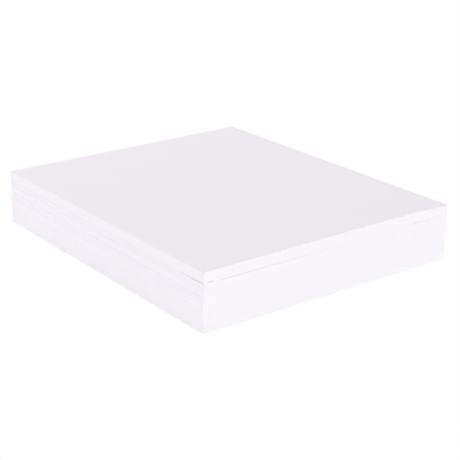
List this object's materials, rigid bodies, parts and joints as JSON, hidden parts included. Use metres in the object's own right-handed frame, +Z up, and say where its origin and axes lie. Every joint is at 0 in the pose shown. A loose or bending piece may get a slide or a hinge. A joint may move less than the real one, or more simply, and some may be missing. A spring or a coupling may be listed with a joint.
{
  "type": "stack of cartridge paper",
  "caption": "Block of loose white drawing paper sheets, knocked up nearly flush, with one corner of the top sheets sprung slightly open.",
  "frame": {"origin": "centre of the footprint's box, on the surface that the stack rests on", "axes": "+X along the short side of a sheet, +Y along the long side, +Z up through the stack; the sprung corner is at -X, -Y"},
  "size_m": [0.2552, 0.305, 0.0504],
  "materials": {
    "paper_edges": "matt cut edges of uncoated white paper",
    "paper_face": "matt uncoated white paper with a fine tooth"
  },
  "bodies": {
    "root": {"bottom_lift": "paper_edges", "second_lift": "paper_edges", "third_lift": "paper_edges", "fourth_lift": "paper_edges", "fifth_lift": "paper_edges", "stray_sheet_1": "paper_edges", "stray_sheet_2": "paper_edges", "stray_sheet_3": "paper_edges", "stray_sheet_4": "paper_edges", "stray_sheet_5": "paper_edges", "quire_sheet_1": "paper_edges", "quire_sheet_2": "paper_edges", "quire_sheet_3": "paper_edges", "top_lift": "paper_edges", "top_sheet": "paper_face"}
  },
  "joints": []
}
